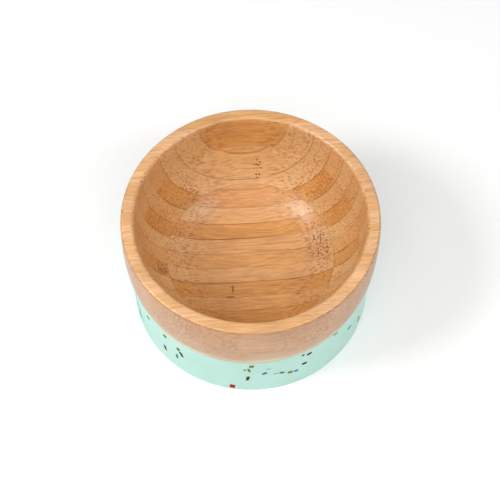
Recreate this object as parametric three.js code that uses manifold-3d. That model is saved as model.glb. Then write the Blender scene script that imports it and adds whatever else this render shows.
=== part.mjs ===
// Baby's suction bowl: a turned bowl of three glued bamboo boards, held by a moulded silicone
// suction base that has coloured chips in its wall and a release tab at the back.
// Millimetres, +Z up. The table is z = 0 and the front of the bowl faces -Y.

import * as THREE from "three";
import * as BufferGeometryUtils from "three/addons/utils/BufferGeometryUtils.js";
import Module from "manifold-3d";

const wasm = await Module();
wasm.setup();

// ---------------------------------------------------------------- driving dimensions

const OVERALL_HEIGHT = 70; // table to the top of the rim
const BELLY_DIAMETER = 125; // across the widest place

// The turned bowl, from boards of one thickness, lowest first
const BOARD_NAMES = ["bowl_bottom_board", "bowl_middle_board", "bowl_top_board"];
const BELLY_DROP = 15; // from the rim down to the widest place
const BELLY_FULLNESS = 2.7; // higher keeps the belly wide for longer below its widest place
const RIM_INSET = 0.5; // how far the rim is inside the belly
const RIM_WIDTH = 6.4; // across the rim, roundings included
const RIM_OUTER_ROUNDING = 1.5;
const RIM_INNER_ROUNDING = 2;
const WAIST_INSET = 2.3; // how far the shoulder over the base is inside the belly
const SHOULDER_CHAMFER = 0.4;
const BOWL_FLOOR_THICKNESS = 10.5;
const CAVITY_FLOOR_RADIUS = 20; // the part of the floor that is nearly flat
const CAVITY_FLOOR_RISE = 0.3; // how far the floor rises to that radius
const CAVITY_WALL_TAPER = 1; // how far the upper wall leans in
const CAVITY_WALL_STRAIGHT = 28.5; // how far the upper wall stays nearly straight
const CAVITY_CORNER_INSET = 13.6; // from the mouth to where the wall's sweep heads for the floor
const CAVITY_CORNER_RISE = 1.5; // and how far above the floor that is
const FOOT_DRAFT = 0.6; // taken off the foot's radius from the shoulder to the bottom
const FOOT_CHAMFER = 0.8;

// The silicone suction base
const BASE_HEIGHT = 32.6;
const BASE_WALL_THICKNESS = 3.45; // at its top edge
const BASE_WALL_TAPER = 0.6; // the wall is this much further out at the table
const BASE_FLOOR_THICKNESS = 3.5;
const CHAMBER_DEPTH = 8; // of the suction chamber under the floor
const CHAMBER_FLAT_RADIUS = 34; // the flat middle of the chamber's ceiling
const SEALING_LIP_WIDTH = 3.6;
const GRIP_CLEARANCE = 0.15; // between the foot and the wall
const SHOULDER_GAP = 0.2; // between the wall's top edge and the bowl's shoulder
const BASE_TOP_ROUNDING = 1;
const BASE_TOP_INNER_CHAMFER = 0.4;
const BASE_BOTTOM_CHAMFER = 0.6;

// The release tab
const TAB_WIDTH = 20;
const TAB_REACH = 14; // from its hinge line to its tip
const TAB_THICKNESS = 2.4;
const TAB_LIFT = 0.8; // under the tab, so that a finger gets below it
const TAB_SEAT_DEPTH = 1.4; // flat let into the wall behind the tab
const TAB_HEADROOM = 1.3; // let into the wall above the tab, so that it can bend up
const TAB_CLEARANCE = 0.3;
const GRIP_RIB_RADIUS = 0.5;
const GRIP_RIB_PITCH = 2.6;
const GRIP_RIB_COUNT = 3;
const GRIP_RIB_MARGIN = 2.6; // from a rib's end to the tab's edge

// The chips in the wall
const CHIP_DEPTH = 0.9;
const CHIP_PROUD = 0.1; // how far a chip stands out of the wall
const CHIP_CLEARANCE = 0.08;
const BACK_CHIP_COUNT = 26;
const BACK_CHIP_SIZE = { long: 3, wide: 1.7 };
const BACK_CHIP_GROWTH = 0.9; // the longest chip at the back is this much longer

const SEGMENTS = 64; // round the bowl and the base
const CURVE_STEPS = 12; // along the cavity's sweep
const ARC_STEPS = 4; // along a small rounding

// ---------------------------------------------------------------- worked-out sizes

const bellyRadius = BELLY_DIAMETER / 2;
const bellyHeight = OVERALL_HEIGHT - BELLY_DROP;
const rimRadius = bellyRadius - RIM_INSET;
const cavityMouthRadius = rimRadius - RIM_WIDTH;
const waistRadius = bellyRadius - WAIST_INSET;
const waistHeight = BASE_HEIGHT + SHOULDER_GAP;

const bowlBottom = CHAMBER_DEPTH + BASE_FLOOR_THICKNESS;
const boardThickness = (OVERALL_HEIGHT - bowlBottom) / BOARD_NAMES.length;

const boreTopRadius = waistRadius - BASE_WALL_THICKNESS;
const boreBottomRadius = boreTopRadius - FOOT_DRAFT;
const footTopRadius = boreTopRadius - GRIP_CLEARANCE;
const footBottomRadius = boreBottomRadius - GRIP_CLEARANCE;
const baseBottomRadius = waistRadius + BASE_WALL_TAPER;
const chamberMouthRadius = baseBottomRadius - SEALING_LIP_WIDTH;

const tabSeat = baseBottomRadius - TAB_SEAT_DEPTH;
const hingeRadius = TAB_THICKNESS / 2;
const hingeDistance = tabSeat + TAB_CLEARANCE + hingeRadius;
const hingeHeight = TAB_LIFT + hingeRadius;
const tabTip = hingeDistance + TAB_REACH;

// The origin is under the middle of the whole object, tab included, so the bowl sits forward.
const bowlAxisY = (bellyRadius - tabTip) / 2;

// ---------------------------------------------------------------- materials

function finish(colour, roughness) {
  return new THREE.MeshStandardMaterial({ color: colour, roughness, metalness: 0 });
}

const bamboo = finish("#d8aa7c", 0.45);
const silicone = finish("#c2e5d8", 0.6);
const chipFinishes = {
  maroon: finish("#5a1220", 0.5),
  red: finish("#ab1020", 0.5),
  olive: finish("#66611c", 0.5),
  yellow: finish("#a3a25a", 0.5),
  teal: finish("#1f7f80", 0.5),
  blue: finish("#1f6f8c", 0.5),
  pale_teal: finish("#86c6bd", 0.5),
};

// ---------------------------------------------------------------- solids and nodes

// A geometry as a closed solid that can be joined and cut.
function solidOf(geometry) {
  const bare = geometry.index ? geometry.clone() : geometry;
  bare.deleteAttribute("normal");
  bare.deleteAttribute("uv");
  const merged = BufferGeometryUtils.mergeVertices(bare, 1e-4);
  return new wasm.Manifold(
    new wasm.Mesh({
      numProp: 3,
      vertProperties: new Float32Array(merged.attributes.position.array),
      triVerts: new Uint32Array(merged.index.array),
    }),
  );
}

function geometryOf(solid) {
  const result = solid.getMesh();
  const geometry = new THREE.BufferGeometry();
  geometry.setAttribute("position", new THREE.BufferAttribute(result.vertProperties, 3));
  geometry.setIndex(new THREE.BufferAttribute(result.triVerts, 1));
  return geometry;
}

function node(name, solid, material) {
  const mesh = new THREE.Mesh(geometryOf(solid), material);
  mesh.name = name;
  return mesh;
}

// A turned solid about +Z. The outline is [radius, height] points, from the axis at the bottom,
// round the outside, to the axis at the top.
function turned(outline) {
  const points = outline.map(([radius, height]) => new THREE.Vector2(radius, height));
  return solidOf(new THREE.LatheGeometry(points, SEGMENTS).rotateX(Math.PI / 2));
}

// Points on a rounding about a centre, from one angle to another in degrees.
function rounding(centreRadius, centreHeight, size, fromAngle, toAngle) {
  const points = [];
  for (let step = 0; step <= ARC_STEPS; step += 1) {
    const angle = THREE.MathUtils.degToRad(fromAngle + ((toAngle - fromAngle) * step) / ARC_STEPS);
    points.push([centreRadius + size * Math.cos(angle), centreHeight + size * Math.sin(angle)]);
  }
  return points;
}

function block(lowCorner, highCorner) {
  const size = highCorner.map((high, i) => high - lowCorner[i]);
  const centre = highCorner.map((high, i) => (high + lowCorner[i]) / 2);
  return solidOf(new THREE.BoxGeometry(...size).translate(...centre));
}

// ---------------------------------------------------------------- the bamboo bowl

// The outside, from the shoulder up to the rim's rounding: it swells to the belly and draws in.
function outerWall() {
  const points = [[waistRadius, waistHeight + SHOULDER_CHAMFER]];
  const rimStart = OVERALL_HEIGHT - RIM_OUTER_ROUNDING;
  for (const share of [0.85, 0.68, 0.5, 0.28]) {
    const drop = (bellyRadius - waistRadius) * share ** BELLY_FULLNESS;
    points.push([bellyRadius - drop, bellyHeight - (bellyHeight - waistHeight) * share]);
  }
  points.push([bellyRadius, bellyHeight]);
  for (const share of [0.5, 1]) {
    const drop = (bellyRadius - rimRadius) * share ** 2;
    points.push([bellyRadius - drop, bellyHeight + (rimStart - bellyHeight) * share]);
  }
  return points;
}

// The inside, from the rim's inner rounding down to the axis, as one sweep into a flat floor.
function cavityWall() {
  const top = OVERALL_HEIGHT - RIM_INNER_ROUNDING;
  const floor = bowlBottom + BOWL_FLOOR_THICKNESS;
  const sweep = new THREE.CubicBezierCurve(
    new THREE.Vector2(cavityMouthRadius, top),
    new THREE.Vector2(cavityMouthRadius - CAVITY_WALL_TAPER, top - CAVITY_WALL_STRAIGHT),
    new THREE.Vector2(cavityMouthRadius - CAVITY_CORNER_INSET, floor + CAVITY_CORNER_RISE),
    new THREE.Vector2(CAVITY_FLOOR_RADIUS, floor + CAVITY_FLOOR_RISE),
  );
  const points = sweep.getPoints(CURVE_STEPS).map((point) => [point.x, point.y]);
  points.push([0, floor]);
  return points;
}

function wholeBowl() {
  const outerCentre = rimRadius - RIM_OUTER_ROUNDING;
  const innerCentre = cavityMouthRadius + RIM_INNER_ROUNDING;
  return turned([
    [0, bowlBottom],
    [footBottomRadius - FOOT_CHAMFER, bowlBottom],
    [footBottomRadius, bowlBottom + FOOT_CHAMFER],
    [footTopRadius, waistHeight],
    [waistRadius - SHOULDER_CHAMFER, waistHeight],
    ...outerWall(),
    ...rounding(outerCentre, OVERALL_HEIGHT - RIM_OUTER_ROUNDING, RIM_OUTER_ROUNDING, 0, 90).slice(1),
    ...rounding(innerCentre, OVERALL_HEIGHT - RIM_INNER_ROUNDING, RIM_INNER_ROUNDING, 90, 180),
    ...cavityWall().slice(1),
  ]);
}

// The boards are glued before the bowl is turned, so each is the bowl between two level planes.
function board(bowl, indexFromBottom) {
  const low = bowlBottom + indexFromBottom * boardThickness;
  const reach = BELLY_DIAMETER;
  return bowl.intersect(block([-reach, -reach, low], [reach, reach, low + boardThickness]));
}

// ---------------------------------------------------------------- the suction base

// The suction chamber's ceiling: flat in the middle, then a quarter oval down to the lip.
function chamberCeilingLine() {
  const points = [[0, CHAMBER_DEPTH]];
  const run = chamberMouthRadius - CHAMBER_FLAT_RADIUS;
  const steps = 2 * ARC_STEPS;
  for (let step = 0; step <= steps; step += 1) {
    const angle = (Math.PI / 2) * (step / steps);
    points.push([CHAMBER_FLAT_RADIUS + run * Math.sin(angle), CHAMBER_DEPTH * Math.cos(angle)]);
  }
  return points;
}

function wallRadius(height) {
  return baseBottomRadius - (BASE_WALL_TAPER * height) / BASE_HEIGHT;
}

function tabSeatCut() {
  const halfWidth = TAB_WIDTH / 2 + 2 * TAB_CLEARANCE;
  const top = TAB_LIFT + TAB_THICKNESS + TAB_HEADROOM;
  return block([-halfWidth, tabSeat, -1], [halfWidth, tabTip, top]);
}

function suctionBase(chips) {
  const topCentre = waistRadius - BASE_TOP_ROUNDING;
  const solid = turned([
    ...chamberCeilingLine().slice(0, -1),
    [chamberMouthRadius, 0],
    [baseBottomRadius - BASE_BOTTOM_CHAMFER, 0],
    [wallRadius(BASE_BOTTOM_CHAMFER), BASE_BOTTOM_CHAMFER],
    ...rounding(topCentre, BASE_HEIGHT - BASE_TOP_ROUNDING, BASE_TOP_ROUNDING, 0, 90),
    [boreTopRadius + BASE_TOP_INNER_CHAMFER, BASE_HEIGHT],
    [boreTopRadius, BASE_HEIGHT - BASE_TOP_INNER_CHAMFER],
    [boreBottomRadius, bowlBottom],
    [0, bowlBottom],
  ]);
  const pockets = chips.map((chip) => chipSolid(chip, CHIP_CLEARANCE));
  return pockets.reduce((left, pocket) => left.subtract(pocket), solid.subtract(tabSeatCut()));
}

// ---------------------------------------------------------------- the release tab

// A rounded plate that turns about the middle of its rolled root, with ribs across it for grip.
function releaseTab() {
  const half = TAB_WIDTH / 2;
  const straight = TAB_REACH - half;
  const outline = new THREE.Shape();
  outline.moveTo(-half, 0);
  outline.lineTo(half, 0);
  outline.lineTo(half, straight);
  outline.absarc(0, straight, half, 0, Math.PI, false);
  outline.closePath();
  const plate = new THREE.ExtrudeGeometry(outline, {
    depth: TAB_THICKNESS,
    bevelEnabled: false,
    curveSegments: 14,
  }).translate(0, 0, -hingeRadius);
  const root = new THREE.CylinderGeometry(hingeRadius, hingeRadius, TAB_WIDTH, 12).rotateZ(Math.PI / 2);
  let solid = solidOf(plate).add(solidOf(root));
  for (let rib = 0; rib < GRIP_RIB_COUNT; rib += 1) {
    const out = straight + rib * GRIP_RIB_PITCH;
    const halfChord = Math.sqrt(half ** 2 - (rib * GRIP_RIB_PITCH) ** 2);
    const length = 2 * (halfChord - GRIP_RIB_MARGIN);
    const bar = new THREE.CylinderGeometry(GRIP_RIB_RADIUS, GRIP_RIB_RADIUS, length, 10)
      .rotateZ(Math.PI / 2)
      .translate(0, out, hingeRadius);
    solid = solid.add(solidOf(bar));
  }
  return solid;
}

// ---------------------------------------------------------------- the coloured chips

// The chips of the front half: compass bearing in degrees about +Z from +X, share of the wall's
// height, long side, short side, lean of the long side in degrees towards a greater bearing.
const FRONT_CHIPS = [
  ["pale_teal", 197, 0.56, 2, 1.6, 90],
  ["teal", 199.5, 0.48, 1.8, 1.6, 90],
  ["olive", 201.8, 0.42, 1.8, 1.5, 90],
  ["blue", 202, 0.28, 2.8, 1.8, 90],
  ["pale_teal", 205.5, 0.32, 2.4, 1.6, 90],
  ["teal", 213, 0.8, 2.4, 1.9, 90],
  ["olive", 225.8, 0.82, 2.4, 2.1, 30],
  ["maroon", 225.3, 0.39, 4.4, 1.5, -9],
  ["olive", 234, 0.72, 2.8, 1.9, 0],
  ["teal", 232.9, 0.43, 4.4, 1.4, 0],
  ["maroon", 235.7, 0.6, 4.2, 1.5, -19],
  ["yellow", 267.3, 0.75, 1.7, 1.2, 0],
  ["olive", 269.3, 0.74, 3.6, 1.1, -12],
  ["olive", 270.4, 0.885, 2.2, 2.3, 90],
  ["maroon", 268.7, 0.45, 4.6, 1.4, 8],
  ["red", 261.4, 0.11, 4, 2.7, 4],
  ["teal", 276.5, 0.61, 2.6, 1.8, 55],
  ["pale_teal", 278.3, 0.75, 2.1, 1.2, 60],
  ["pale_teal", 281.9, 0.54, 2.2, 1.4, 90],
  ["teal", 284.8, 0.53, 2.5, 1.7, -60],
  ["olive", 288.8, 0.46, 2.5, 2.2, -78],
  ["blue", 291.8, 0.44, 2.2, 1.9, -80],
  ["maroon", 294.9, 0.91, 1.4, 1.4, 52],
  ["maroon", 298.2, 0.86, 2.6, 1.9, 81],
  ["maroon", 295.9, 0.59, 2.6, 1.9, -78],
  ["teal", 313.3, 0.94, 2.8, 1, -76],
].map(([colour, bearing, up, long, wide, lean]) => ({ colour, bearing, up, long, wide, lean }));

const BACK_CHIPS_START = 322; // bearing where the front chips end
const BACK_CHIPS_SPAN = 228;
const BACK_COLOURS = [
  ...["teal", "maroon", "olive", "blue", "maroon"],
  ...["teal", "yellow", "red", "olive", "pale_teal"],
];

// An even scatter: the fraction left of a whole number times an irrational step.
function scatter(index, step) {
  return (index * step) % 1;
}

// The chips of the back half are spread along the wall and scattered up it.
function backChips() {
  const chips = [];
  const pitch = BACK_CHIPS_SPAN / BACK_CHIP_COUNT;
  const tabHalfAngle = THREE.MathUtils.radToDeg(Math.atan2(TAB_WIDTH / 2, baseBottomRadius)) + pitch / 2;
  for (let index = 0; index < BACK_CHIP_COUNT; index += 1) {
    const bearing = (BACK_CHIPS_START + pitch * (index + 0.3 + 0.4 * scatter(index, Math.SQRT2))) % 360;
    const lowest = Math.abs(bearing - 90) < tabHalfAngle ? 0.4 : 0.12;
    const up = lowest + (0.88 - lowest) * scatter(index + 1, (Math.sqrt(5) - 1) / 2);
    chips.push({
      colour: BACK_COLOURS[index % BACK_COLOURS.length],
      bearing,
      up,
      long: BACK_CHIP_SIZE.long + BACK_CHIP_GROWTH * (scatter(index, Math.sqrt(3)) - 0.5),
      wide: BACK_CHIP_SIZE.wide,
      lean: 180 * scatter(index, Math.sqrt(7)) - 90,
    });
  }
  return chips;
}

// A chip's place: its long side lies in the wall and its depth points to the bowl's axis.
function chipPlace(chip) {
  const bearing = THREE.MathUtils.degToRad(chip.bearing);
  const lean = THREE.MathUtils.degToRad(chip.lean);
  const out = new THREE.Vector3(Math.cos(bearing), Math.sin(bearing), 0);
  const along = new THREE.Vector3(-Math.sin(bearing), Math.cos(bearing), 0);
  const up = new THREE.Vector3(0, 0, 1);
  const longSide = up.multiplyScalar(Math.cos(lean)).addScaledVector(along, Math.sin(lean));
  const shortSide = new THREE.Vector3().crossVectors(longSide, out);
  const height = chip.up * BASE_HEIGHT;
  const centre = out.clone().multiplyScalar(wallRadius(height) + CHIP_PROUD - CHIP_DEPTH / 2);
  centre.z = height;
  return new THREE.Matrix4().makeBasis(out, shortSide, longSide).setPosition(centre);
}

// The chip itself, or with a clearance the pocket that holds it.
function chipSolid(chip, clearance) {
  const grow = 2 * clearance;
  const shape = new THREE.BoxGeometry(CHIP_DEPTH + grow, chip.wide + grow, chip.long + grow);
  return solidOf(shape.applyMatrix4(chipPlace(chip)));
}

// ---------------------------------------------------------------- assembly

const suctionBowl = new THREE.Group();
const aboutBowlAxis = new THREE.Group();
aboutBowlAxis.position.y = bowlAxisY;
suctionBowl.add(aboutBowlAxis);

const bowl = wholeBowl();
BOARD_NAMES.forEach((name, index) => {
  aboutBowlAxis.add(node(name, board(bowl, index), bamboo));
});

const chips = [...FRONT_CHIPS, ...backChips()];
aboutBowlAxis.add(node("suction_base", suctionBase(chips), silicone));

const tab = node("release_tab", releaseTab(), silicone);
tab.position.set(0, hingeDistance, hingeHeight);
aboutBowlAxis.add(tab);

chips.forEach((chip, index) => {
  const name = `chip_${String(index + 1).padStart(2, "0")}_${chip.colour}`;
  aboutBowlAxis.add(node(name, chipSolid(chip, 0), chipFinishes[chip.colour]));
});

export default suctionBowl;
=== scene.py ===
import math

import bmesh
import bpy
from mathutils import Matrix, Vector


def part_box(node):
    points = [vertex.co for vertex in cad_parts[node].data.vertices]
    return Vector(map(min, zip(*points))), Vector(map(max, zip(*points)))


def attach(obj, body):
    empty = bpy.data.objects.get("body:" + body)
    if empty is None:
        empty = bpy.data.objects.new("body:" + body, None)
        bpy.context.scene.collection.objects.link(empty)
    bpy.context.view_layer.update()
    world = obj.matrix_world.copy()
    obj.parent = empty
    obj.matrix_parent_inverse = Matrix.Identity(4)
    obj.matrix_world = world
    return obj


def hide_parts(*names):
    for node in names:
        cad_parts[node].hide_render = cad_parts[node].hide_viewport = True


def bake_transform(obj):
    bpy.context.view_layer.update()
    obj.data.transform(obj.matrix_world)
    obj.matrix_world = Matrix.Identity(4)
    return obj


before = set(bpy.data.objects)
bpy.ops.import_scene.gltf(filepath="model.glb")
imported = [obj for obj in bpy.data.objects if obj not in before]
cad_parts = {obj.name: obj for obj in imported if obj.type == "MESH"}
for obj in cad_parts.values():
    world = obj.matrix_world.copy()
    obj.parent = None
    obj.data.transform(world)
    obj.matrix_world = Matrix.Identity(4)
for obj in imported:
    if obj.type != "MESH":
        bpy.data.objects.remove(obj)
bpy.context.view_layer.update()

MM = 0.001


# ---------------------------------------------------------------- where the pieces stand

rim_low, rim_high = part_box("bowl_top_board")
bottom_low, bottom_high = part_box("bowl_bottom_board")
base_low, base_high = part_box("suction_base")
tab_low, tab_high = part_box("release_tab")

AXIS = Vector(((rim_low.x + rim_high.x) / 2, (rim_low.y + rim_high.y) / 2, 0))
RIM_TOP = rim_high.z / MM
UPPER_GLUE_PLANE = rim_low.z / MM
LOWER_GLUE_PLANE = bottom_high.z / MM
BOWL_BOTTOM = bottom_low.z / MM
BELLY_RADIUS = (rim_high.x - rim_low.x) / 2 / MM
BASE_TOP = base_high.z / MM
BASE_RADIUS = (base_high.x - base_low.x) / 2 / MM  # at the table

# ---------------------------------------------------------------- the turner's sizes, in millimetres

BELLY_HEIGHT = RIM_TOP - 15
BELLY_FULLNESS = 2.7
RIM_RADIUS = BELLY_RADIUS - 0.5
RIM_WIDTH = 6.4
RIM_OUTER_ROUNDING = 1.5
RIM_INNER_ROUNDING = 2.0
MOUTH_RADIUS = RIM_RADIUS - RIM_WIDTH
WAIST_RADIUS = BELLY_RADIUS - 2.3
WAIST_HEIGHT = BASE_TOP + 0.2
SHOULDER_ROUNDING = 0.4
FLOOR_HEIGHT = BOWL_BOTTOM + 10.5
FLAT_FLOOR_RADIUS = 20.0
FLAT_FLOOR_RISE = 0.3
WALL_LEAN = 1.0  # how far the cavity's upper wall leans in
WALL_STRAIGHT = 28.5  # how far it stays nearly straight
CORNER_INSET = 13.6  # from the mouth to where the wall's sweep heads for the floor
CORNER_RISE = 1.5
FOOT_RADIUS = WAIST_RADIUS - 3.6
FOOT_DRAFT = 0.6
FOOT_CHAMFER = 0.8

# ---------------------------------------------------------------- the moulder's sizes, in millimetres

WALL_THICKNESS = 3.45
WALL_TOP_ROUNDING = 1.0
WALL_FOOT_ROUNDING = 0.7
BORE_DRAFT = 0.6
CHAMBER_DEPTH = BOWL_BOTTOM - 3.5  # leaves the base's floor
CHAMBER_FLAT_RADIUS = 34.0
CHAMBER_MOUTH_RADIUS = BASE_RADIUS - 3.6  # leaves the sealing lip
LIP_ROUNDING = 0.5
BORE_ROUNDING = 0.4

TAB_HALF_WIDTH = (tab_high.x - tab_low.x) / 2 / MM
TAB_TIP = (tab_high.y - AXIS.y) / MM
TAB_UNDERSIDE = tab_low.z / MM
TAB_THICKNESS = 2.4
TAB_FLARE = 5.0  # how much wider the tab is where it leaves the wall, each side
TAB_RIB_PITCH = 2.6
TAB_RIB_COUNT = 3
TAB_RIB_HEIGHT = 0.45
TAB_RIB_HALF_WIDTH = 0.75
TAB_RIB_MARGIN = 2.6
TAB_EDGE_ROUNDING = 0.8
TAB_ROOT = BASE_RADIUS - 3.0  # where the tab's moulding starts, inside the wall
TAB_FLARE_START = BASE_RADIUS - 2.2
TAB_FILLET = 1.8  # how high the fillet rises against the wall
TAB_FILLET_REACH = 2.0

TURNS = 256  # faces round a turned or moulded ring


# ---------------------------------------------------------------- mesh making

def arc(centre_radius, centre_height, size, start, end, steps=6):
    """Points [radius, height] on a rounding, from one angle to another in degrees."""
    points = []
    for step in range(steps + 1):
        angle = math.radians(start + (end - start) * step / steps)
        points.append((centre_radius + size * math.cos(angle), centre_height + size * math.sin(angle)))
    return points


def sweep(corners, steps):
    """Points along a cubic curve with these four corners."""
    points = []
    for step in range(steps + 1):
        t = step / steps
        weights = ((1 - t) ** 3, 3 * t * (1 - t) ** 2, 3 * t * t * (1 - t), t ** 3)
        points.append(tuple(sum(w * c[i] for w, c in zip(weights, corners)) for i in (0, 1)))
    return points


def outer_wall():
    """The bowl's outside, from the shoulder over the base to the rim's rounding."""
    points = []
    for step in range(24, 0, -1):
        share = step / 24
        drop = (BELLY_RADIUS - WAIST_RADIUS) * share ** BELLY_FULLNESS
        points.append((BELLY_RADIUS - drop, BELLY_HEIGHT - (BELLY_HEIGHT - WAIST_HEIGHT) * share))
    points[0] = (WAIST_RADIUS, WAIST_HEIGHT + SHOULDER_ROUNDING)
    rim_start = RIM_TOP - RIM_OUTER_ROUNDING
    for step in range(13):
        share = step / 12
        drop = (BELLY_RADIUS - RIM_RADIUS) * share ** 2
        points.append((BELLY_RADIUS - drop, BELLY_HEIGHT + (rim_start - BELLY_HEIGHT) * share))
    return points


def cavity_wall():
    """The bowl's inside, from the rim's inner rounding down to the middle of the floor."""
    top = RIM_TOP - RIM_INNER_ROUNDING
    corners = (
        (MOUTH_RADIUS, top),
        (MOUTH_RADIUS - WALL_LEAN, top - WALL_STRAIGHT),
        (MOUTH_RADIUS - CORNER_INSET, FLOOR_HEIGHT + CORNER_RISE),
        (FLAT_FLOOR_RADIUS, FLOOR_HEIGHT + FLAT_FLOOR_RISE),
    )
    points = sweep(corners, 60)
    for step in range(1, 9):
        share = 1 - step / 8
        points.append((FLAT_FLOOR_RADIUS * share, FLOOR_HEIGHT + FLAT_FLOOR_RISE * share ** 2))
    return points


def visible_wood_line():
    """The outline of the bowl's shown surface, from the foot round the rim to the floor's middle."""
    outer_centre = RIM_RADIUS - RIM_OUTER_ROUNDING
    inner_centre = MOUTH_RADIUS + RIM_INNER_ROUNDING
    shoulder_height = WAIST_HEIGHT + SHOULDER_ROUNDING
    shoulder = arc(WAIST_RADIUS - SHOULDER_ROUNDING, shoulder_height, SHOULDER_ROUNDING, -90, 0, 4)
    outer_rounding = arc(outer_centre, RIM_TOP - RIM_OUTER_ROUNDING, RIM_OUTER_ROUNDING, 0, 90)
    inner_rounding = arc(inner_centre, RIM_TOP - RIM_INNER_ROUNDING, RIM_INNER_ROUNDING, 90, 180)
    return (
        [(FOOT_RADIUS - FOOT_DRAFT - FOOT_CHAMFER, BOWL_BOTTOM)]
        + [(FOOT_RADIUS - FOOT_DRAFT, BOWL_BOTTOM + FOOT_CHAMFER), (FOOT_RADIUS, WAIST_HEIGHT)]
        + shoulder[:-1]
        + outer_wall()
        + outer_rounding[1:]
        + inner_rounding
        + cavity_wall()[1:]
    )


def slice_line(line, low, high):
    """The runs of an outline between two heights, with points put in where it crosses them."""
    runs = []
    run = []
    for (r0, z0), (r1, z1) in zip(line, line[1:]):
        crossed = [height for height in (low, high) if min(z0, z1) < height < max(z0, z1)]
        cuts = sorted({0.0, 1.0, *[(height - z0) / (z1 - z0) for height in crossed]})
        for a, b in zip(cuts, cuts[1:]):
            middle = z0 + (z1 - z0) * (a + b) / 2
            if low <= middle <= high:
                start = (r0 + (r1 - r0) * a, z0 + (z1 - z0) * a)
                end = (r0 + (r1 - r0) * b, z0 + (z1 - z0) * b)
                if not run:
                    run = [start]
                run.append(end)
            elif run:
                runs.append(run)
                run = []
    if run:
        runs.append(run)
    return runs


def piece(name, mesh, body, *nodes, slot, material):
    """A mesh as a piece that rides on a body and stands for CAD nodes."""
    shown = bpy.data.objects.new(name, mesh)
    bpy.context.scene.collection.objects.link(shown)
    shown.data.materials.append(material)
    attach(shown, body)
    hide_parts(*nodes)
    return shown


def smooth(mesh, crease=38):
    """Smooth shading that keeps edges sharper than an angle in degrees."""
    for face in mesh.polygons:
        face.use_smooth = True
    mesh.set_sharp_from_angle(angle=math.radians(crease))


def turned_mesh(name, outline):
    """A closed turned mesh. The outline goes round the section, and may start and end on the axis."""
    work = bmesh.new()
    rings = []
    for radius, height in outline:
        if radius < 1e-6:
            rings.append([work.verts.new(AXIS + Vector((0, 0, height * MM)))])
            continue
        ring = []
        for turn in range(TURNS):
            angle = 2 * math.pi * turn / TURNS
            out = Vector((math.cos(angle), math.sin(angle), 0)) * radius * MM
            ring.append(work.verts.new(AXIS + out + Vector((0, 0, height * MM))))
        rings.append(ring)
    pairs = list(zip(rings, rings[1:]))
    if len(rings[0]) > 1:
        pairs.append((rings[-1], rings[0]))
    for lower, upper in pairs:
        for turn in range(TURNS):
            after = (turn + 1) % TURNS
            if len(lower) == 1 and len(upper) == 1:
                break
            if len(lower) == 1:
                work.faces.new((lower[0], upper[after], upper[turn]))
            elif len(upper) == 1:
                work.faces.new((lower[turn], lower[after], upper[0]))
            else:
                work.faces.new((lower[turn], lower[after], upper[after], upper[turn]))
    bmesh.ops.recalc_face_normals(work, faces=work.faces)
    mesh = bpy.data.meshes.new(name)
    work.to_mesh(mesh)
    work.free()
    smooth(mesh)
    return mesh


# ---------------------------------------------------------------- finishes

def srgb(code):
    """An sRGB hex colour as linear RGBA."""
    channels = [int(code[i:i + 2], 16) / 255 for i in (1, 3, 5)]
    linear = [c / 12.92 if c <= 0.04045 else ((c + 0.055) / 1.055) ** 2.4 for c in channels]
    return (*linear, 1.0)


MIX_UNDER, MIX_OVER, MIX_RESULT = 6, 7, 2  # where a mix node keeps its colours


def node(tree, kind, inputs=(), stops=(), **settings):
    """Adds a node with its settings and links. Inputs come in the order of its sockets, or by name.
    Each is a value, another node's output, or a node that stands for its first output."""
    new = tree.nodes.new(kind)
    for name, value in settings.items():
        setattr(new, name, value)
    for socket, value in inputs.items() if isinstance(inputs, dict) else enumerate(inputs):
        if isinstance(value, bpy.types.Node):
            value = value.outputs[0]
        if isinstance(value, bpy.types.NodeSocket):
            tree.links.new(value, new.inputs[socket])
        else:
            new.inputs[socket].default_value = value
    for number, (place, colour) in enumerate(stops):
        element = new.color_ramp.elements[number] if number < 2 else new.color_ramp.elements.new(1.0)
        element.position = place
        element.color = colour
    return new


def new_material(name):
    """An empty node material and its tree and output."""
    made = bpy.data.materials.new(name)
    made.use_nodes = True
    made.node_tree.nodes.clear()
    return made, made.node_tree, made.node_tree.nodes.new("ShaderNodeOutputMaterial")


def marks(tree, board, spots):
    """How deep a point of the board lies in any of these soft-edged marks. Each is a centre
    [right, back, up] from the bowl's axis in millimetres, its half sizes and its strength."""
    seen = 0.0
    for centre, half_size, strength in spots:
        away = node(tree, "ShaderNodeVectorMath", [board, centre], operation="SUBTRACT")
        share = node(tree, "ShaderNodeVectorMath", [away, half_size], operation="DIVIDE")
        span = node(tree, "ShaderNodeVectorMath", [share], operation="LENGTH").outputs["Value"]
        fade = [span, 0.45, 1.0, strength, 0.0]
        spot = node(tree, "ShaderNodeMapRange", fade, interpolation_type="SMOOTHSTEP")
        seen = node(tree, "ShaderNodeMath", [seen, spot], operation="MAXIMUM")
    return seen


STRIP_TILT = 4.0  # degrees that the strips are turned from left-to-right
STRIP_SHADES = {
    "p": srgb("#e9b98a"),  # pale, from the inside of the culm
    "s": srgb("#e3b07e"),  # straw
    "h": srgb("#dfa971"),  # honey
    "a": srgb("#daa061"),  # amber, carbonised a little longer
    "m": srgb("#d89a58"),  # amber along the fibres, pale where it is cut across
    "r": srgb("#daa165"),  # russet, next to the culm's skin
}
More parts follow.
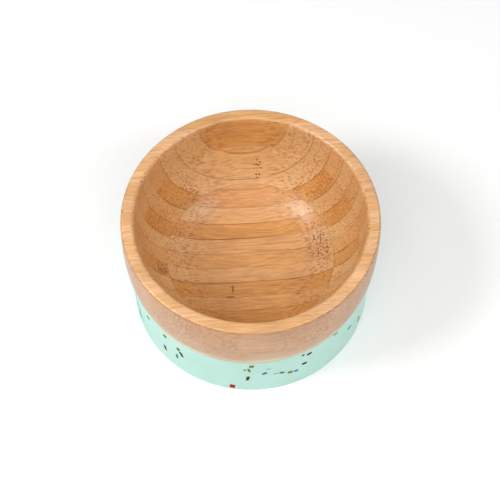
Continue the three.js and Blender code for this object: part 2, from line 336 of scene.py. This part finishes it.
# how much each shade pales inside the bowl where its fibres are cut across
CUT_END_PALENESS = {"p": 1.0, "s": 1.0, "h": 0.55, "a": 0.0, "m": 1.0, "r": 0.2}
BUNDLE_SPACING = 1.15  # between the fibre bundles of the culm in millimetres, drawn a little coarse
BUNDLE_LENGTH = 22.0  # how far a bundle runs before it wanders out of the cut surface
PORE_SPACING = 1.5  # between the dark pores where the culm was bruised, drawn coarse
STREAK_LENGTH = 14.0  # of the fine streaks between the bundles
STREAK_WIDTH = 0.8
GLUE_LINE = 0.13  # half the width of a glue line that shows
GLUE_COLOUR = srgb("#9c6a38")
PALE_WOOD = srgb("#e6c6a2")  # cut across the fibres
# painted shade: the wood inside the hollow is multiplied darker and warmer than on the rim
CAVITY_PAINTED_SHADE = srgb("#f5eed8")
BELLY_PAINTED_SHADE = srgb("#d7ccbd")  # painted shade on the belly, whose upright side gets less light than the rim


def laminated_bamboo(
    name, width, first_edge, strips, dark_grain=(), open_joints=(), knots=(), pale_patches=(),
):
    """Bamboo strips pressed side by side into a board, turned across the laminations, sanded and
    given a satin food-safe coat. Each strip keeps its own shade, the fibre bundles show as dots
    where the turning cuts across them and as fine streaks where it runs along them, and the glue
    lines show as thin darker lines. The strips run left to right and are listed from the front.
    first_edge is the front edge of the first, in millimetres from the bowl's axis. Inside, the
    colour is darkened and warmed by painted shade."""
    made, tree, output = new_material(name)
    tilt = math.radians(-STRIP_TILT)
    turned_axis = Matrix.Rotation(tilt, 3, "Z") @ AXIS
    here = node(tree, "ShaderNodeTexCoord")
    board = node(tree, "ShaderNodeMapping", {
        "Vector": here.outputs["Object"],
        "Location": -turned_axis / MM,
        "Rotation": (0, 0, tilt),
        "Scale": (1 / MM, 1 / MM, 1 / MM),
    })
    parts = node(tree, "ShaderNodeSeparateXYZ", [board])
    level = node(tree, "ShaderNodeVectorMath", [board, (1.0, 1.0, 0.0)], operation="MULTIPLY")
    from_axis = node(tree, "ShaderNodeVectorMath", [level], operation="LENGTH").outputs["Value"]
    mouth_edge = [from_axis, MOUTH_RADIUS - 0.8, MOUTH_RADIUS + 0.6, 1.0, 0.0]
    in_cavity = node(tree, "ShaderNodeMapRange", mouth_edge, interpolation_type="SMOOTHSTEP")
    rim_edge = [from_axis, RIM_RADIUS - 0.9, RIM_RADIUS - 0.1, 0.0, 1.0]
    outside = node(tree, "ShaderNodeMapRange", rim_edge, interpolation_type="SMOOTHSTEP")

    # which strip this is, and how far across it
    from_front = node(tree, "ShaderNodeMath", [parts.outputs["Y"], first_edge], operation="SUBTRACT")
    place = node(tree, "ShaderNodeMath", [from_front, width], operation="DIVIDE")
    whole = node(tree, "ShaderNodeMath", [place, float(len(strips))], operation="DIVIDE")
    strip_starts = [
        (number / len(strips), (*STRIP_SHADES[letter][:3], CUT_END_PALENESS[letter]))
        for number, letter in enumerate(strips)
    ]
    shade = node(tree, "ShaderNodeValToRGB", [whole], stops=strip_starts)
    shade.color_ramp.interpolation = "CONSTANT"
    across = node(tree, "ShaderNodeMath", [place], operation="FRACT")
    strip_number = node(tree, "ShaderNodeMath", [place], operation="FLOOR")
    own = node(tree, "ShaderNodeTexWhiteNoise", {"W": strip_number}, noise_dimensions="1D")

    # the fibres' own space: long left to right, shifted for each strip, and wandering a little
    shift = node(tree, "ShaderNodeMath", [own.outputs["Value"], 300.0], operation="MULTIPLY")
    shift_both = node(tree, "ShaderNodeCombineXYZ", [shift, 0.0, shift])
    shifted = node(tree, "ShaderNodeVectorMath", [board, shift_both], operation="ADD")
    slow = node(tree, "ShaderNodeVectorMath", [shifted, (0.03, 0.07, 0.07)], operation="MULTIPLY")
    drift = node(tree, "ShaderNodeTexNoise", {"Vector": slow, "Scale": 1.0, "Detail": 2.0})
    drift_colour = drift.outputs["Color"]
    either_way = node(tree, "ShaderNodeVectorMath", [drift_colour, (0.5, 0.5, 0.5)], operation="SUBTRACT")
    sway = node(tree, "ShaderNodeVectorMath", [either_way, (0.0, 5.0, 5.0)], operation="MULTIPLY")
    fibres = node(tree, "ShaderNodeVectorMath", [shifted, sway], operation="ADD")

    # fibre bundles: dots on the cut ends, streaks along the board, denser on a strip's skin side
    bundle_size = (BUNDLE_LENGTH, BUNDLE_SPACING, BUNDLE_SPACING)
    packed = node(tree, "ShaderNodeVectorMath", [fibres, bundle_size], operation="DIVIDE")
    bundle = node(tree, "ShaderNodeTexVoronoi", {"Vector": packed, "Scale": 1.0, "Randomness": 0.7})
    dot_edge = [bundle.outputs["Distance"], 0.22, 0.5, 1.0, 0.0]
    dot = node(tree, "ShaderNodeMapRange", dot_edge, interpolation_type="SMOOTHSTEP")
    along = (math.cos(tilt), -math.sin(tilt), 0)
    facing = node(tree, "ShaderNodeVectorMath", [here.outputs["Normal"], along], operation="DOT_PRODUCT")
    crossing = node(tree, "ShaderNodeMath", [facing.outputs["Value"]], operation="ABSOLUTE")
    darker_dots = [crossing, 0.05, 0.45, 0.4, 1.0]
    paler_ground = [crossing, 0.1, 0.6, 0.0, 0.4]
    cut_end = node(tree, "ShaderNodeMapRange", darker_dots, interpolation_type="SMOOTHSTEP")
    pale_end = node(tree, "ShaderNodeMapRange", paler_ground, interpolation_type="SMOOTHSTEP")
    for share in (in_cavity, shade.outputs["Alpha"]):
        pale_end = node(tree, "ShaderNodeMath", [pale_end, share], operation="MULTIPLY")
    patch = node(tree, "ShaderNodeTexNoise", {"Vector": slow, "Scale": 2.5, "Detail": 2.0})
    dot_patches = [patch, 0.36, 0.64, 0.5, 1.0]
    patchy = node(tree, "ShaderNodeMapRange", dot_patches, interpolation_type="SMOOTHSTEP")
    skin_side = node(tree, "ShaderNodeMapRange", [across, 0.0, 1.0, 1.0, 0.7])
    bundles = dot
    for share in (cut_end, patchy, skin_side):
        bundles = node(tree, "ShaderNodeMath", [bundles, share], operation="MULTIPLY")

    # the ground tissue between the bundles, in fine streaks and slow clouds
    streak_size = (STREAK_LENGTH, STREAK_WIDTH, STREAK_WIDTH)
    streaked = node(tree, "ShaderNodeVectorMath", [fibres, streak_size], operation="DIVIDE")
    ground_look = {"Vector": streaked, "Scale": 1.0, "Detail": 4.0, "Roughness": 0.65}
    ground = node(tree, "ShaderNodeTexNoise", ground_look)
    broad = node(tree, "ShaderNodeVectorMath", [board, (0.03, 0.06, 0.06)], operation="MULTIPLY")
    cloud = node(tree, "ShaderNodeTexNoise", {"Vector": broad, "Scale": 1.0, "Detail": 1.0})
    streaks = [ground, 0.3, 0.7, 0.80, 1.15]
    clouds = [cloud, 0.3, 0.7, 0.95, 1.05]
    streak_value = node(tree, "ShaderNodeMapRange", streaks, interpolation_type="SMOOTHSTEP")
    cloud_value = node(tree, "ShaderNodeMapRange", clouds, interpolation_type="SMOOTHSTEP")
    value = node(tree, "ShaderNodeMath", [streak_value, cloud_value], operation="MULTIPLY")
    grey = node(tree, "ShaderNodeCombineColor", [value, value, value])

    # glue lines between the strips
    off_middle = node(tree, "ShaderNodeMath", [across, 0.5], operation="SUBTRACT")
    off_middle = node(tree, "ShaderNodeMath", [off_middle], operation="ABSOLUTE")
    to_edge = node(tree, "ShaderNodeMath", [0.5, off_middle], operation="SUBTRACT")
    edge_gap = node(tree, "ShaderNodeMath", [to_edge, width], operation="MULTIPLY")
    line_edge = [edge_gap, GLUE_LINE, 2.6 * GLUE_LINE, 1.0, 0.0]
    line = node(tree, "ShaderNodeMapRange", line_edge, interpolation_type="SMOOTHSTEP")
    line_patches = [patch, 0.35, 0.6, 0.2, 0.6]
    here_and_there = node(tree, "ShaderNodeMapRange", line_patches, interpolation_type="SMOOTHSTEP")
    more_inside = node(tree, "ShaderNodeMapRange", [in_cavity, 0.0, 1.0, 0.3, 1.0])
    for share in (here_and_there, more_inside):
        line = node(tree, "ShaderNodeMath", [line, share], operation="MULTIPLY")

    # what lies over the strips' own shades, lowest first
    layers = [
        ("MULTIPLY", 1.0, grey),
        ("MIX", pale_end, PALE_WOOD),
        ("MULTIPLY", bundles, srgb("#c7a27f")),
        ("MIX", line, GLUE_COLOUR),
    ]
    for plane in (LOWER_GLUE_PLANE, UPPER_GLUE_PLANE):
        height = node(tree, "ShaderNodeMath", [parts.outputs["Z"], plane], operation="SUBTRACT")
        distance = node(tree, "ShaderNodeMath", [height], operation="ABSOLUTE")
        joint_edge = [distance, 0.0, 2 * GLUE_LINE, 0.4, 0.0]
        joint = node(tree, "ShaderNodeMapRange", joint_edge, interpolation_type="SMOOTHSTEP")
        layers.append(("MIX", joint, GLUE_COLOUR))
    pore_look = {"Vector": board, "Scale": 1 / PORE_SPACING, "Randomness": 0.6}
    pores = node(tree, "ShaderNodeTexVoronoi", pore_look)
    pore_edge = [pores.outputs["Distance"], 0.2, 0.5, 1.0, 0.0]
    pore = node(tree, "ShaderNodeMapRange", pore_edge, interpolation_type="SMOOTHSTEP")
    dark_pores = node(tree, "ShaderNodeMath", [marks(tree, board, dark_grain), pore], operation="MULTIPLY")
    layers += [
        ("MIX", marks(tree, board, pale_patches), PALE_WOOD),
        ("MIX", marks(tree, board, open_joints), srgb("#84501f")),
        ("MIX", dark_pores, srgb("#82421c")),
        ("MIX", marks(tree, board, knots), srgb("#5e2a12")),
        # painted shade inside the hollow
        ("MULTIPLY", in_cavity, CAVITY_PAINTED_SHADE),
        # painted shade on the belly
        ("MULTIPLY", outside, BELLY_PAINTED_SHADE),
    ]
    colour = shade
    for blend, amount, over in layers:
        mixed = {"Factor": amount, MIX_UNDER: colour, MIX_OVER: over}
        colour = node(tree, "ShaderNodeMix", mixed, data_type="RGBA", blend_type=blend)
        colour = colour.outputs[MIX_RESULT]

    gloss = [ground, 0.3, 0.7, 0.5, 0.4]
    relief = node(tree, "ShaderNodeMath", [ground, bundles], operation="SUBTRACT")
    bump = node(tree, "ShaderNodeBump", {"Height": relief, "Strength": 0.35, "Distance": 0.03 * MM})
    shader = node(tree, "ShaderNodeBsdfPrincipled", {
        "Base Color": colour,
        "Roughness": node(tree, "ShaderNodeMapRange", gloss, interpolation_type="SMOOTHSTEP"),
        "IOR": 1.5,
        "Specular IOR Level": 0.45,
        "Coat Weight": 0.5,
        "Coat Roughness": 0.3,
        "Coat IOR": 1.5,
        "Normal": bump,
    })
    tree.links.new(shader.outputs[0], output.inputs["Surface"])
    return made


PIGMENT_CLOUDS = 60.0  # faint clouds in the mint pigment to a metre, so 17 mm each
TOOL_GRAINS = 2500.0  # to a metre: a blasted tool's 0.2 mm grain, drawn at 0.4 mm so that it shows


def moulded_silicone(name):
    """Food-grade silicone, compression moulded in a finely blasted tool: soft mint, a little light
    goes into it, with a dull sheen and a faint unevenness in the pigment."""
    made, tree, output = new_material(name)
    here = node(tree, "ShaderNodeTexCoord")
    cloudy = {"Vector": here.outputs["Object"], "Scale": PIGMENT_CLOUDS, "Detail": 2.0}
    cloud = node(tree, "ShaderNodeTexNoise", cloudy)
    mint = [(0.3, srgb("#b0d9cc")), (0.7, srgb("#b8ded3"))]
    tint = node(tree, "ShaderNodeValToRGB", [cloud], stops=mint)
    blasted = {"Vector": here.outputs["Object"], "Scale": TOOL_GRAINS, "Detail": 2.0}
    grain = node(tree, "ShaderNodeTexNoise", blasted)
    bump = node(tree, "ShaderNodeBump", {"Height": grain, "Strength": 0.12, "Distance": 0.05 * MM})
    shader = node(tree, "ShaderNodeBsdfPrincipled", {
        "Base Color": tint,
        "Roughness": 0.46,
        "IOR": 1.41,
        "Specular IOR Level": 0.45,
        "Subsurface Weight": 0.35,
        "Subsurface Radius": (0.8, 1.0, 0.95),
        "Subsurface Scale": 2.0 * MM,
        "Normal": bump,
    })
    tree.links.new(shader.outputs[0], output.inputs["Surface"])
    return made


CHIP_MOTTLES = 900.0  # in a chip's colour to a metre, so 1.1 mm each
CHIP_COLOURS = {
    "maroon": ("#320410", "#4a0c1c"),
    "red": ("#93040f", "#b00c18"),
    "olive": ("#626002", "#86800a"),
    "yellow": ("#807a34", "#9c9646"),
    "teal": ("#00727c", "#0a929c"),
    "blue": ("#026884", "#0c86a6"),
    "pale_teal": ("#74c2c2", "#8ad2d0"),
}


def silicone_chip(colour):
    """Chips cut from coloured silicone sheet, set in the wall when it was moulded: strong colour
    mottled a little darker and lighter, with a dull skin."""
    dark, light = CHIP_COLOURS[colour]
    made, tree, output = new_material(f"silicone_chip_{colour}")
    here = node(tree, "ShaderNodeTexCoord")
    cloudy = {"Vector": here.outputs["Object"], "Scale": CHIP_MOTTLES, "Detail": 2.0}
    cloud = node(tree, "ShaderNodeTexNoise", cloudy)
    sheet = [(0.35, srgb(dark)), (0.65, srgb(light))]
    tint = node(tree, "ShaderNodeValToRGB", [cloud], stops=sheet)
    bump = node(tree, "ShaderNodeBump", {"Height": cloud, "Strength": 0.1, "Distance": 0.05 * MM})
    shader = node(tree, "ShaderNodeBsdfPrincipled", {
        "Base Color": tint,
        "Roughness": 0.55,
        "IOR": 1.41,
        "Specular IOR Level": 0.1,
        "Normal": bump,
    })
    tree.links.new(shader.outputs[0], output.inputs["Surface"])
    return made


# ---------------------------------------------------------------- the bamboo bowl

wood_line = visible_wood_line()

top_bamboo = laminated_bamboo("turned_bamboo_top_board", 7.5, -68.9, "shshshshshshshssrh")
middle_bamboo = laminated_bamboo(
    "turned_bamboo_middle_board", 7.75, -64.75, "hshshsprhsahappsh",
    dark_grain=[((7, 47, 38), (3, 5.5, 14), 1), ((-44.5, -6, 35), (4, 4.5, 9), 1)],
    pale_patches=[((3.5, -62, 41), (12, 7, 10), 0.5)],
    open_joints=[
        ((-44.5, -8, 34), (3.5, 2.6, 6), 0.4),
        ((46, -2.9, 38), (7, 0.45, 12), 0.6),
        ((46, -10.6, 38), (6, 0.45, 12), 0.75),
        ((-48, -10.4, 38), (6, 0.45, 12), 0.75),
        ((-39, 28.2, 38), (7, 0.4, 12), 0.6),
        ((38, 28.2, 38), (7, 0.4, 12), 0.45),
        ((43, 20.4, 38), (7, 0.35, 12), 0.45),
        ((45, 12.7, 38), (7, 0.35, 12), 0.45),
        ((-46, 12.8, 38), (5, 0.35, 12), 0.4),
    ],
)
bottom_bamboo = laminated_bamboo(
    "turned_bamboo_bottom_board", 8.4, -61.1, "shhahashsasmahh",
    dark_grain=[((36.5, 5.5, 26), (8, 12, 9), 1)],
    pale_patches=[((3.5, -62, 41), (12, 7, 10), 0.5)],
    open_joints=[
        ((-8, 14.5, FLOOR_HEIGHT + 2), (32, 0.45, 9), 0.7),
        ((-4, 22.9, FLOOR_HEIGHT + 3), (16, 0.35, 9), 0.4),
        ((-20, -10.7, FLOOR_HEIGHT + 2), (22, 0.35, 9), 0.4),
        ((25, -10.8, FLOOR_HEIGHT + 3), (18, 0.35, 9), 0.45),
    ],
    knots=[
        ((-10, -14.5, FLOOR_HEIGHT), (0.6, 3.0, 6), 0.75),
        ((-10, -13.2, FLOOR_HEIGHT), (2.0, 0.45, 6), 0.55),
        ((-11.5, -19, FLOOR_HEIGHT), (3.2, 0.55, 6), 0.85),
        ((22.5, -20, FLOOR_HEIGHT), (2.2, 0.4, 6), 0.85),
    ],
)

top_run, = slice_line(wood_line, UPPER_GLUE_PLANE, RIM_TOP)
middle_outside, middle_inside = slice_line(wood_line, LOWER_GLUE_PLANE, UPPER_GLUE_PLANE)
foot_outside, floor_inside = slice_line(wood_line, BOWL_BOTTOM, LOWER_GLUE_PLANE)

rings = (
    ("rim_ring", top_run, "bowl_top_board", top_bamboo),
    ("wall_ring", middle_outside + middle_inside, "bowl_middle_board", middle_bamboo),
    ("floor_and_foot", [(0, BOWL_BOTTOM)] + foot_outside + floor_inside, "bowl_bottom_board", bottom_bamboo),
)
for name, outline, board, bamboo in rings:
    piece(name, turned_mesh(name, outline), "bowl", board, slot="bamboo", material=bamboo)


# ---------------------------------------------------------------- the suction base

def base_line():
    """The base's outline, from the middle of the suction chamber round the wall to the floor."""
    bore_top = WAIST_RADIUS - WALL_THICKNESS
    bore_bottom = bore_top - BORE_DRAFT
    points = [(0, CHAMBER_DEPTH), (CHAMBER_FLAT_RADIUS / 2, CHAMBER_DEPTH)]
    run = CHAMBER_MOUTH_RADIUS - CHAMBER_FLAT_RADIUS
    for step in range(25):
        angle = math.pi / 2 * step / 24
        points.append((CHAMBER_FLAT_RADIUS + run * math.sin(angle), CHAMBER_DEPTH * math.cos(angle)))
    points.pop()
    points += arc(CHAMBER_MOUTH_RADIUS + LIP_ROUNDING, LIP_ROUNDING, LIP_ROUNDING, 180, 270, 4)
    points += arc(BASE_RADIUS - WALL_FOOT_ROUNDING, WALL_FOOT_ROUNDING, WALL_FOOT_ROUNDING, -90, 0)
    top_start = BASE_TOP - WALL_TOP_ROUNDING
    for step in range(1, 16):
        share = step / 16
        height = WALL_FOOT_ROUNDING + (top_start - WALL_FOOT_ROUNDING) * share
        points.append((BASE_RADIUS + (WAIST_RADIUS - BASE_RADIUS) * share, height))
    points += arc(WAIST_RADIUS - WALL_TOP_ROUNDING, top_start, WALL_TOP_ROUNDING, 0, 90)
    points += arc(bore_top + BORE_ROUNDING, BASE_TOP - BORE_ROUNDING, BORE_ROUNDING, 90, 180, 4)
    points += [(bore_bottom, BOWL_BOTTOM), (bore_bottom / 2, BOWL_BOTTOM), (0, BOWL_BOTTOM)]
    return points


silicone = moulded_silicone("moulded_mint_silicone")
cup = turned_mesh("base_cup", base_line())
piece("base_cup", cup, "base", "suction_base", slot="silicone", material=silicone)


def tab_mesh(name):
    """The release tab: a thin plate that grows out of the wall on a fillet, with a round end,
    rounded edges and ribs across it."""
    round_centre = TAB_TIP - TAB_HALF_WIDTH
    columns = 96
    rows = 120
    middle = TAB_UNDERSIDE + TAB_THICKNESS / 2
    half = TAB_THICKNESS / 2

    def half_width(out):
        if out > round_centre:
            return math.sqrt(max(0.0, TAB_HALF_WIDTH ** 2 - (out - round_centre) ** 2))
        if out <= TAB_FLARE_START:
            return TAB_HALF_WIDTH + TAB_FLARE
        near = max(0.0, 1 - (out - TAB_FLARE_START) / TAB_FLARE)
        return TAB_HALF_WIDTH + TAB_FLARE * (1 - math.sqrt(max(0.0, 1 - near ** 2)))

    def heights(across, out):
        if out > round_centre:
            edge = TAB_HALF_WIDTH - math.hypot(across, out - round_centre)
        else:
            edge = half_width(out) - abs(across)
        inward = min(1.0, max(0.0, edge) / TAB_EDGE_ROUNDING)
        body = half * math.sqrt(1 - (1 - inward) ** 2)
        wall = math.sqrt(max(0.0, BASE_RADIUS ** 2 - across ** 2))
        near = min(1.0, max(0.0, 1 - (out - wall) / TAB_FILLET_REACH))
        fillet = TAB_FILLET * (1 - math.sqrt(1 - near ** 2)) * inward
        rib = 0.0
        for index in range(TAB_RIB_COUNT):
            place = round_centre + index * TAB_RIB_PITCH
            reach = math.sqrt(TAB_HALF_WIDTH ** 2 - (place - round_centre) ** 2) - TAB_RIB_MARGIN
            off = math.hypot(max(0.0, abs(across) - reach), out - place)
            rib = max(rib, TAB_RIB_HEIGHT * max(0.0, 1 - (off / TAB_RIB_HALF_WIDTH) ** 2))
        return middle + body + fillet + rib, middle - body - 0.35 * fillet

    work = bmesh.new()
    top_grid = []
    bottom_grid = []
    for row in range(rows + 1):
        out = TAB_ROOT + (TAB_TIP - TAB_ROOT) * math.sin(math.pi / 2 * row / rows)
        top_row = []
        bottom_row = []
        for column in range(columns + 1):
            across = half_width(out) * math.sin(math.pi / 2 * (2 * column / columns - 1))
            top, bottom = heights(across, out)
            if column in (0, columns) or row == rows:
                top_row.append(work.verts.new(AXIS + Vector((across, out, middle)) * MM))
                bottom_row.append(top_row[-1])
            else:
                top_row.append(work.verts.new(AXIS + Vector((across, out, top)) * MM))
                bottom_row.append(work.verts.new(AXIS + Vector((across, out, bottom)) * MM))
        top_grid.append(top_row)
        bottom_grid.append(bottom_row)
    for grid in (top_grid, bottom_grid):
        for row in range(rows):
            for column in range(columns):
                near, far = grid[row], grid[row + 1]
                corners = [near[column], near[column + 1], far[column + 1], far[column]]
                work.faces.new(corners if grid is top_grid else corners[::-1])
    for column in range(columns):
        low, high = bottom_grid[0], top_grid[0]
        work.faces.new(list(dict.fromkeys([low[column], low[column + 1], high[column + 1], high[column]])))
    bmesh.ops.remove_doubles(work, verts=work.verts, dist=0.002 * MM)
    bmesh.ops.recalc_face_normals(work, faces=work.faces)
    mesh = bpy.data.meshes.new(name)
    work.to_mesh(mesh)
    work.free()
    smooth(mesh, 60)
    return mesh


def release_tab():
    """The release tab's mesh in the base's silicone, in place of the CAD part, which is hidden."""
    shown = bpy.data.objects.new("pull_tab", tab_mesh("pull_tab"))
    bpy.context.scene.collection.objects.link(shown)
    shown.data.materials.append(silicone)
    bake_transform(shown)
    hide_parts("release_tab")


release_tab()


# ---------------------------------------------------------------- the coloured chips

chip_materials = {colour: silicone_chip(colour) for colour in CHIP_COLOURS}
CHIP_CORNER = 0.04  # rounding of a chip's cut edges, in millimetres


def chip(cad_name):
    """A chip with its cut edges softened, where the wall holds it."""
    _, number, colour = cad_name.split("_", 2)
    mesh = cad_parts[cad_name].data.copy()
    mesh.name = f"flake_{number}"
    mesh.materials.clear()
    work = bmesh.new()
    work.from_mesh(mesh)
    bmesh.ops.remove_doubles(work, verts=work.verts, dist=0.01 * MM)
    bmesh.ops.dissolve_limit(work, angle_limit=math.radians(2), verts=work.verts, edges=work.edges)
    softened = {"offset": CHIP_CORNER * MM, "segments": 2, "profile": 0.5, "affect": "EDGES"}
    bmesh.ops.bevel(work, geom=work.edges[:], **softened)
    bmesh.ops.recalc_face_normals(work, faces=work.faces)
    work.to_mesh(mesh)
    work.free()
    smooth(mesh, 50)
    piece(f"flake_{number}", mesh, "base", cad_name, slot=f"chip_{colour}", material=chip_materials[colour])


for cad_name in sorted(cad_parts):
    if cad_name.startswith("chip_"):
        chip(cad_name)


# ---------------------------------------------------------------- floor, light and camera

def studio_floor():
    """Matt white paper, which gives a plain pale ground and a soft light from below."""
    mesh = bpy.data.meshes.new("studio_floor")
    reach = 3.0
    corners = [(-reach, -reach, 0), (reach, -reach, 0), (reach, reach, 0), (-reach, reach, 0)]
    mesh.from_pydata(corners, [], [(0, 1, 2, 3)])
    floor = bpy.data.objects.new("studio_floor", mesh)
    bpy.context.scene.collection.objects.link(floor)
    made, tree, output = new_material("matt_white_paper")
    paper = {"Base Color": srgb("#fefefe"), "Roughness": 0.9, "Specular IOR Level": 0.1}
    shader = node(tree, "ShaderNodeBsdfPrincipled", paper)
    tree.links.new(shader.outputs[0], output.inputs["Surface"])
    mesh.materials.append(made)


def softbox(name, direction, distance, size, power, colour="#ffffff"):
    """An area light of a size in metres, aimed at the bowl's middle from a direction."""
    data = bpy.data.lights.new(name, "AREA")
    data.shape = "RECTANGLE"
    data.size, data.size_y = size
    data.energy = power
    data.color = srgb(colour)[:3]
    box = bpy.data.objects.new(name, data)
    bpy.context.scene.collection.objects.link(box)
    target = AXIS + Vector((0, 0, RIM_TOP / 2 * MM))
    box.location = target + Vector(direction).normalized() * distance
    box.rotation_euler = (target - box.location).to_track_quat("-Z", "Y").to_euler()


def studio_light():
    """White surroundings, two softboxes that leave the two gleams on the cavity's floor, and two
    wide panels that even out the rest."""
    world = bpy.data.worlds.new("studio")
    bpy.context.scene.world = world
    world.use_nodes = True
    background = world.node_tree.nodes["Background"]
    background.inputs["Color"].default_value = srgb("#ffffff")
    background.inputs["Strength"].default_value = 0.5
    softbox("left_softbox", (-0.72, -0.22, 0.78), 0.9, (0.25, 0.25), 3.3)
    softbox("right_softbox", (0.70, -0.34, 0.86), 0.9, (0.23, 0.23), 1.5)
    softbox("left_fill_panel", (-1.0, -0.3, 0.5), 1.5, (1.4, 1.0), 0.7)
    softbox("overhead_softbox", (0.0, -0.62, 1.0), 1.1, (0.9, 0.7), 3.7)


def studio_camera():
    """Looks down at the rim from the front, 60 degrees above the horizon."""
    data = bpy.data.cameras.new("camera")
    data.sensor_width = 36
    data.lens = 84.4
    camera = bpy.data.objects.new("camera", data)
    bpy.context.scene.collection.objects.link(camera)
    rim_centre = AXIS + Vector((0, 0, RIM_TOP * MM))
    camera.location = rim_centre + Vector((-0.0003, -0.2819, 0.4806))
    camera.rotation_euler = (math.radians(28.7), 0, 0)
    bpy.context.scene.camera = camera


bpy.context.scene.view_settings.view_transform = "Standard"
studio_floor()
studio_light()
studio_camera()
